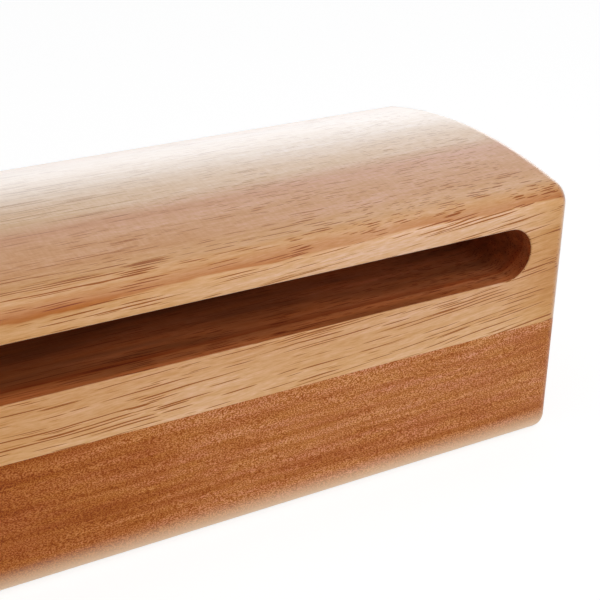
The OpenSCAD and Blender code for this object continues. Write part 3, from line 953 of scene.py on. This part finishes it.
washers = {
    "holeRadius": 3.2,
    "flatFoot": 60.7,
    "flatRadius": 6.25,
    "flatThick": 1.6,
    # rounding of the section's corners: hole and rim at the foot, then rim and hole at the top
    "flatRounds": (0.1, 0.15, 0.45, 0.3),
    "flatColumns": 96,
    "lockFoot": 62.3,
    "lockRadius": 5.5,
    "lockThick": 1.5,
    "lockRounds": (0.15, 0.2, 0.2, 0.15),
    "lockSteps": 89,
    "split": 1.0,
    "slant": 20,  # degrees
}


def washerSection(w, radius, thick, rounds):
    # a rectangle of (radius, along) points with each corner rounded by its own amount
    corners = ((w["holeRadius"], 0), (radius, 0), (radius, thick), (w["holeRadius"], thick))
    return softCorners([(*corner, rounding) for corner, rounding in zip(corners, rounds)])


def flatWasherShell(w):
    # punched disc: the edges that met the punch first are rolled over, the others are nearly sharp
    section = washerSection(w, w["flatRadius"], w["flatThick"], w["flatRounds"])
    points, faces = turned(section, w["flatColumns"])
    return onClamp(points, w["flatFoot"]), faces


def lockWasherShell(w):
    # a rounded section carried round from one side of the slanted split, which is at the top, to the other
    section = washerSection(w, w["lockRadius"], w["lockThick"], w["lockRounds"])
    slant = math.radians(w["slant"])
    lean = math.tan(slant) * (section[:, 1] - w["lockThick"] / 2) / section[:, 0]
    halfSplit = w["split"] / 2 / math.cos(slant) / section[:, 0]
    share = np.linspace(0, 1, w["lockSteps"] + 1)[:, None]
    turn = (lean + halfSplit) * (1 - share) + (2 * np.pi + lean - halfSplit) * share
    points = np.stack([section[:, 0] * np.sin(turn), -section[:, 0] * np.cos(turn),
                       np.broadcast_to(section[:, 1], turn.shape)], -1)
    count = len(section)
    faces = gridFaces(len(points), count, closed=True)
    faces += [list(range(count)), list(range((len(points) - 1) * count, len(points) * count))]
    return onClamp(points, w["lockFoot"]), faces


screws = {
    "seat": 36.0,  # y under the heads
    "x": 19.25,
    "z": 4.5,  # above and below the clamp's middle
    "firstTurn": 0.5,  # radians that the first cross is turned
    "turnStep": 1.1,  # and how much more the next ones
    "headRadius": 3.8,
    "headHeight": 2.6,
    "crossHalf": 2.0,
    "crossWidth": 1.0,
    # rings of the cross from its middle to its edge: shares of its length and width, and the depth
    "lengthShares": (0.02, 0.5, 0.93, 1.0),
    "widthShares": (0.02, 0.72, 0.9, 1.0),
    "depths": (1.4, 1.12, 0.12, 0.05),
    "crossLip": 0.07,
    # rings of the head's rim: drawn in from the radius, and height
    "rim": ((0.02, 0.12), (0.0, 0.05), (0.05, 0.0)),
    "rimStart": 0.1,  # where the round top ends, drawn in from the radius
    "quarterSteps": 24,
    "topSteps": 9,
    "length": 18.0,
    "point": 4.0,
    "pointRadius": 0.1,
    "radius": 2.0,
    "pitch": 1.6,
    "threadDepth": 0.6,
    "plain": 4.5,  # length of plain shank under the head
    "plainRadius": 1.7,
    "shankSink": 0.5,  # how far the shank reaches into the head
    "shankColumns": 24,
}


def screwShells(s, turnBy):
    # Head: rings of points, the inner ones shaped as the cross and the outer ones round. A ring's reach at
    # an angle is where a ray leaves the cross, through an arm's side or its end. Shank: a helix that ends in
    # a point.
    domeR = (s["headRadius"] ** 2 + s["headHeight"] ** 2) / (2 * s["headHeight"])
    length, width, lip = s["crossHalf"], s["crossWidth"] / 2, s["crossLip"]
    corner = math.atan2(width, length)
    quarter = np.linspace(0, np.pi / 2, s["quarterSteps"], endpoint=False)
    quarter = np.sort(np.r_[quarter, corner, np.pi / 4, np.pi / 2 - corner])
    turn = np.concatenate([quarter + k * np.pi / 2 for k in range(4)])
    sides = abs(np.cos(turn)), abs(np.sin(turn))
    far, near = np.maximum(*sides), np.minimum(*sides)

    def cross(halfLength, halfWidth):
        return np.minimum(halfLength / far, halfWidth / np.maximum(near, nearZero))

    recess = [cross(length * a, width * b)[None] for a, b in zip(s["lengthShares"], s["widthShares"])]
    outwards = np.linspace(0, 1, s["topSteps"] + 1)[:, None]
    top = (1 - outwards) * cross(length + lip, width + lip) + outwards * (s["headRadius"] - s["rimStart"])
    reach = np.concatenate([*recess, top])
    sunk = np.zeros(len(reach))
    sunk[:len(recess)] = s["depths"]
    height = np.sqrt(domeR ** 2 - reach ** 2) - domeR + s["headHeight"] - sunk[:, None]
    height[0] = s["headHeight"] - s["depths"][0]
    rim = np.array([(s["headRadius"] - inwards, high) for inwards, high in s["rim"]] + [(0.0, 0.0)])
    reach = np.concatenate([reach, rim[:, :1] + 0 * turn])
    height = np.concatenate([height, rim[:, 1:] + 0 * turn])
    head = np.stack([reach * np.cos(turn), reach * np.sin(turn), height], -1)
    headFaces = gridFaces(len(head), len(turn), closed=True) + [list(range(len(turn)))]
    c, k = math.cos(turnBy), math.sin(turnBy)
    head = head.reshape(-1, 3) @ np.array([[c, k, 0], [-k, c, 0], [0, 0, 1]])

    def ends(along, radius):
        radius = np.where(along > -s["plain"], s["plainRadius"], radius)
        pointed = s["pointRadius"] + s["radius"] * np.clip((along + s["length"]) / s["point"], 0, 1)
        return np.minimum(radius, pointed)

    columns = s["shankColumns"]
    shank = helix(-s["length"], s["shankSink"], s["pitch"], s["radius"], s["threadDepth"], columns, ends)
    return [(head, headFaces), capped(*shank, columns + 1)]


strap = {
    "flatAngle": 0.5,  # degrees: faces that meet at less are one flat
    "brokenEdge": 0.25,
    "edgeAngle": 35,  # degrees: edges that turn by more are broken
    "edgeSegments": 3,
}


def bracketCopy(node, name):
    # the strap's own solid, its loose triangles merged and its flats joined, with every edge broken
    mesh = node.data.copy()
    mesh.name = name
    work = bmesh.new()
    work.from_mesh(mesh)
    bmesh.ops.remove_doubles(work, verts=work.verts, dist=mergeDistance)
    angle = math.radians(strap["flatAngle"])
    bmesh.ops.dissolve_limit(work, angle_limit=angle, verts=work.verts, edges=work.edges)
    work.to_mesh(mesh)
    work.free()
    mesh.shade_smooth()
    mesh.materials.clear()
    mesh.materials.append(stripChrome)
    piece = bpy.data.objects.new(name, mesh)
    scene.collection.objects.link(piece)
    edge = piece.modifiers.new("broken edges", "BEVEL")
    edge.width, edge.segments = strap["brokenEdge"] * mm, strap["edgeSegments"]
    edge.limit_method, edge.angle_limit = "ANGLE", math.radians(strap["edgeAngle"])
    weighted = piece.modifiers.new("weighted", "WEIGHTED_NORMAL")
    weighted.keep_sharp = False
    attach(piece, "block")
    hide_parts("rod_bracket")
    return piece


sharp = clamp["sharpAngle"]
points, faces = eyeBoltShells(eyeBolt)
meshPiece("eyeBolt", points, faces, chrome, "eye_bolt", ["eye_bolt"], sharp)
points, faces = wingNutShells(wingNut)
meshPiece("wingNut", points, faces, castZinc, "wing_nut", ["wing_nut"], sharp)
points, faces = flatWasherShell(washers)
meshPiece("flatWasher", points, faces, zinc, "block", ["flat_washer"])
points, faces = lockWasherShell(washers)
meshPiece("lockWasher", points, faces, zinc, "block", ["lock_washer"])
shells = []
for i, (x, z) in enumerate(((-1, -1), (1, -1), (-1, 1), (1, 1))):
    for points, faces in screwShells(screws, screws["firstTurn"] + screws["turnStep"] * i):
        shells.append((onClamp(points, screws["seat"], x * screws["x"], z * screws["z"]), faces))
points, faces = joined(shells)
meshPiece("screws", points, faces, zinc, "block", ["bracket_screws"], sharp)
bracketCopy(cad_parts["rod_bracket"], "bracket")
print("clamp made")
